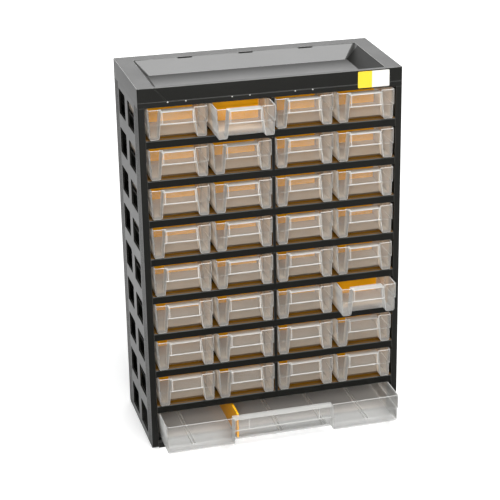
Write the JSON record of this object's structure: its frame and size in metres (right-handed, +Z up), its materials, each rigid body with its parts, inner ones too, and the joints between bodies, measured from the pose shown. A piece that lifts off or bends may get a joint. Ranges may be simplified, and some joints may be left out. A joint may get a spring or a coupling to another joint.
{
  "type": "parts bin cabinet",
  "caption": "Table-top small-parts cabinet: a black moulded frame with lattice sides, rows of clear pull-out drawers over a wide drawer, and an open tray on top.",
  "frame": {"origin": "centre of the frame's footprint, on the surface it stands on", "axes": "+Z up, -Y towards the front where the drawers open, +X to the right seen from the front"},
  "size_m": [0.302, 0.1665, 0.435],
  "materials": {
    "frame_plastic": "fine moulded grain, slight sheen",
    "drawer_plastic": "milky clear, smooth",
    "divider_plastic": "orange-yellow, smooth"
  },
  "bodies": {
    "cabinet": {"left_side": "frame_plastic", "right_side": "frame_plastic", "base": "frame_plastic", "back_panel": "frame_plastic", "top_cover": "frame_plastic", "shelf_1": "frame_plastic", "shelf_2": "frame_plastic", "shelf_3": "frame_plastic", "shelf_4": "frame_plastic", "shelf_5": "frame_plastic", "shelf_6": "frame_plastic", "shelf_7": "frame_plastic", "shelf_8": "frame_plastic"},
    "drawer_r1c1": {"drawer_r1c1": "drawer_plastic"},
    "drawer_r1c2": {"drawer_r1c2": "drawer_plastic"},
    "drawer_r1c3": {"drawer_r1c3": "drawer_plastic"},
    "drawer_r1c4": {"drawer_r1c4": "drawer_plastic"},
    "drawer_r2c1": {"drawer_r2c1": "drawer_plastic"},
    "drawer_r2c2": {"drawer_r2c2": "drawer_plastic"},
    "drawer_r2c3": {"drawer_r2c3": "drawer_plastic"},
    "drawer_r2c4": {"drawer_r2c4": "drawer_plastic"},
    "drawer_r3c1": {"drawer_r3c1": "drawer_plastic"},
    "drawer_r3c2": {"drawer_r3c2": "drawer_plastic"},
    "drawer_r3c3": {"drawer_r3c3": "drawer_plastic"},
    "drawer_r3c4": {"drawer_r3c4": "drawer_plastic"},
    "drawer_r4c1": {"drawer_r4c1": "drawer_plastic"},
    "drawer_r4c2": {"drawer_r4c2": "drawer_plastic"},
    "drawer_r4c3": {"drawer_r4c3": "drawer_plastic"},
    "drawer_r4c4": {"drawer_r4c4": "drawer_plastic"},
    "drawer_r5c1": {"drawer_r5c1": "drawer_plastic"},
    "drawer_r5c2": {"drawer_r5c2": "drawer_plastic"},
    "drawer_r5c3": {"drawer_r5c3": "drawer_plastic"},
    "drawer_r5c4": {"drawer_r5c4": "drawer_plastic"},
    "drawer_r6c1": {"drawer_r6c1": "drawer_plastic"},
    "drawer_r6c2": {"drawer_r6c2": "drawer_plastic"},
    "drawer_r6c3": {"drawer_r6c3": "drawer_plastic"},
    "drawer_r6c4": {"drawer_r6c4": "drawer_plastic"},
    "drawer_r7c1": {"drawer_r7c1": "drawer_plastic"},
    "drawer_r7c2": {"drawer_r7c2": "drawer_plastic"},
    "drawer_r7c3": {"drawer_r7c3": "drawer_plastic"},
    "drawer_r7c4": {"drawer_r7c4": "drawer_plastic"},
    "drawer_r8c1": {"drawer_r8c1": "drawer_plastic"},
    "drawer_r8c2": {"drawer_r8c2": "drawer_plastic"},
    "drawer_r8c3": {"drawer_r8c3": "drawer_plastic"},
    "drawer_r8c4": {"drawer_r8c4": "drawer_plastic"},
    "large_drawer": {"large_drawer": "drawer_plastic", "large_divider": "divider_plastic"}
  },
  "joints": [
    {"name": "slide_r1c1", "type": "slide", "parent": "cabinet", "child": "drawer_r1c1", "axis": [0, -1, 0], "range_m": [0, 0.0945]},
    {"name": "slide_r1c2", "type": "slide", "parent": "cabinet", "child": "drawer_r1c2", "axis": [0, -1, 0], "range_m": [-0.0185, 0.076]},
    {"name": "slide_r1c3", "type": "slide", "parent": "cabinet", "child": "drawer_r1c3", "axis": [0, -1, 0], "range_m": [0, 0.0945]},
    {"name": "slide_r1c4", "type": "slide", "parent": "cabinet", "child": "drawer_r1c4", "axis": [0, -1, 0], "range_m": [0, 0.0945]},
    {"name": "slide_r2c1", "type": "slide", "parent": "cabinet", "child": "drawer_r2c1", "axis": [0, -1, 0], "range_m": [0, 0.0945]},
    {"name": "slide_r2c2", "type": "slide", "parent": "cabinet", "child": "drawer_r2c2", "axis": [0, -1, 0], "range_m": [0, 0.0945]},
    {"name": "slide_r2c3", "type": "slide", "parent": "cabinet", "child": "drawer_r2c3", "axis": [0, -1, 0], "range_m": [0, 0.0945]},
    {"name": "slide_r2c4", "type": "slide", "parent": "cabinet", "child": "drawer_r2c4", "axis": [0, -1, 0], "range_m": [0, 0.0945]},
    {"name": "slide_r3c1", "type": "slide", "parent": "cabinet", "child": "drawer_r3c1", "axis": [0, -1, 0], "range_m": [0, 0.0945]},
    {"name": "slide_r3c2", "type": "slide", "parent": "cabinet", "child": "drawer_r3c2", "axis": [0, -1, 0], "range_m": [0, 0.0945]},
    {"name": "slide_r3c3", "type": "slide", "parent": "cabinet", "child": "drawer_r3c3", "axis": [0, -1, 0], "range_m": [0, 0.0945]},
    {"name": "slide_r3c4", "type": "slide", "parent": "cabinet", "child": "drawer_r3c4", "axis": [0, -1, 0], "range_m": [0, 0.0945]},
    {"name": "slide_r4c1", "type": "slide", "parent": "cabinet", "child": "drawer_r4c1", "axis": [0, -1, 0], "range_m": [0, 0.0945]},
    {"name": "slide_r4c2", "type": "slide", "parent": "cabinet", "child": "drawer_r4c2", "axis": [0, -1, 0], "range_m": [0, 0.0945]},
    {"name": "slide_r4c3", "type": "slide", "parent": "cabinet", "child": "drawer_r4c3", "axis": [0, -1, 0], "range_m": [0, 0.0945]},
    {"name": "slide_r4c4", "type": "slide", "parent": "cabinet", "child": "drawer_r4c4", "axis": [0, -1, 0], "range_m": [0, 0.0945]},
    {"name": "slide_r5c1", "type": "slide", "parent": "cabinet", "child": "drawer_r5c1", "axis": [0, -1, 0], "range_m": [0, 0.0945]},
    {"name": "slide_r5c2", "type": "slide", "parent": "cabinet", "child": "drawer_r5c2", "axis": [0, -1, 0], "range_m": [0, 0.0945]},
    {"name": "slide_r5c3", "type": "slide", "parent": "cabinet", "child": "drawer_r5c3", "axis": [0, -1, 0], "range_m": [0, 0.0945]},
    {"name": "slide_r5c4", "type": "slide", "parent": "cabinet", "child": "drawer_r5c4", "axis": [0, -1, 0], "range_m": [0, 0.0945]},
    {"name": "slide_r6c1", "type": "slide", "parent": "cabinet", "child": "drawer_r6c1", "axis": [0, -1, 0], "range_m": [0, 0.0945]},
    {"name": "slide_r6c2", "type": "slide", "parent": "cabinet", "child": "drawer_r6c2", "axis": [0, -1, 0], "range_m": [0, 0.0945]},
    {"name": "slide_r6c3", "type": "slide", "parent": "cabinet", "child": "drawer_r6c3", "axis": [0, -1, 0], "range_m": [0, 0.0945]},
    {"name": "slide_r6c4", "type": "slide", "parent": "cabinet", "child": "drawer_r6c4", "axis": [0, -1, 0], "range_m": [-0.016, 0.0785]},
    {"name": "slide_r7c1", "type": "slide", "parent": "cabinet", "child": "drawer_r7c1", "axis": [0, -1, 0], "range_m": [0, 0.0945]},
    {"name": "slide_r7c2", "type": "slide", "parent": "cabinet", "child": "drawer_r7c2", "axis": [0, -1, 0], "range_m": [0, 0.0945]},
    {"name": "slide_r7c3", "type": "slide", "parent": "cabinet", "child": "drawer_r7c3", "axis": [0, -1, 0], "range_m": [0, 0.0945]},
    {"name": "slide_r7c4", "type": "slide", "parent": "cabinet", "child": "drawer_r7c4", "axis": [0, -1, 0], "range_m": [0, 0.0945]},
    {"name": "slide_r8c1", "type": "slide", "parent": "cabinet", "child": "drawer_r8c1", "axis": [0, -1, 0], "range_m": [0, 0.0945]},
    {"name": "slide_r8c2", "type": "slide", "parent": "cabinet", "child": "drawer_r8c2", "axis": [0, -1, 0], "range_m": [0, 0.0945]},
    {"name": "slide_r8c3", "type": "slide", "parent": "cabinet", "child": "drawer_r8c3", "axis": [0, -1, 0], "range_m": [0, 0.0945]},
    {"name": "slide_r8c4", "type": "slide", "parent": "cabinet", "child": "drawer_r8c4", "axis": [0, -1, 0], "range_m": [0, 0.0945]},
    {"name": "slide_large", "type": "slide", "parent": "cabinet", "child": "large_drawer", "axis": [0, -1, 0], "range_m": [-0.0315, 0.063]}
  ]
}
